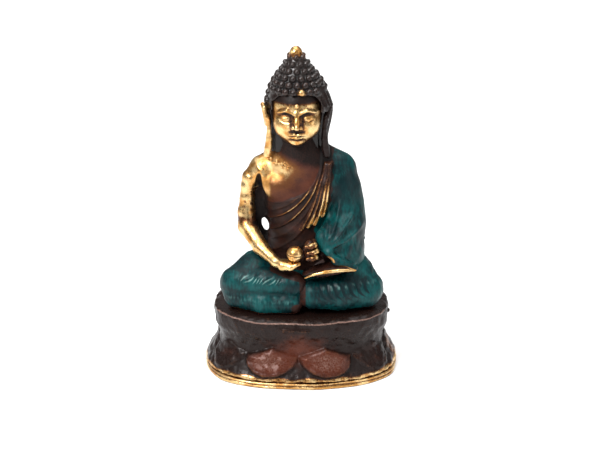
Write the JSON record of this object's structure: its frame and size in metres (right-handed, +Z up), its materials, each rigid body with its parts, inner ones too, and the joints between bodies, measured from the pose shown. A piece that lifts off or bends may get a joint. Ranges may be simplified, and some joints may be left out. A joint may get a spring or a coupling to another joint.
{
  "type": "buddha statue",
  "caption": "Seated robed figure holding a round jewel in its lap, on an oval lotus pedestal with a hollow underside and a flat foot rim.",
  "frame": {"origin": "middle of the flat underside of the foot rim", "axes": "+Z up, the figure faces -Y, its own right hand is on the -X side"},
  "size_m": [0.0445, 0.035, 0.075],
  "materials": {
    "polished_brass": "polished by hand, dark in the recesses",
    "dark_patina": "chemically darkened brass, satin",
    "red_patina": "reddish brown patina over brass, satin",
    "teal_paint": "worn satin paint over brass",
    "steel": "plain zinc-plated steel"
  },
  "bodies": {
    "root": {"foot_rim": "polished_brass", "lotus_pedestal": "red_patina", "figure_stud": "steel", "stud_washer": "steel", "stud_nut": "steel", "crossed_legs": "teal_paint", "torso": "dark_patina", "shoulder_sash": "dark_patina", "head": "polished_brass", "hair_cap": "dark_patina", "finial": "polished_brass", "urna": "polished_brass", "right_ear": "polished_brass", "left_ear": "dark_patina", "right_arm": "polished_brass", "jewel": "polished_brass", "left_arm": "teal_paint", "left_hand": "polished_brass", "right_foot": "dark_patina"}
  },
  "joints": []
}
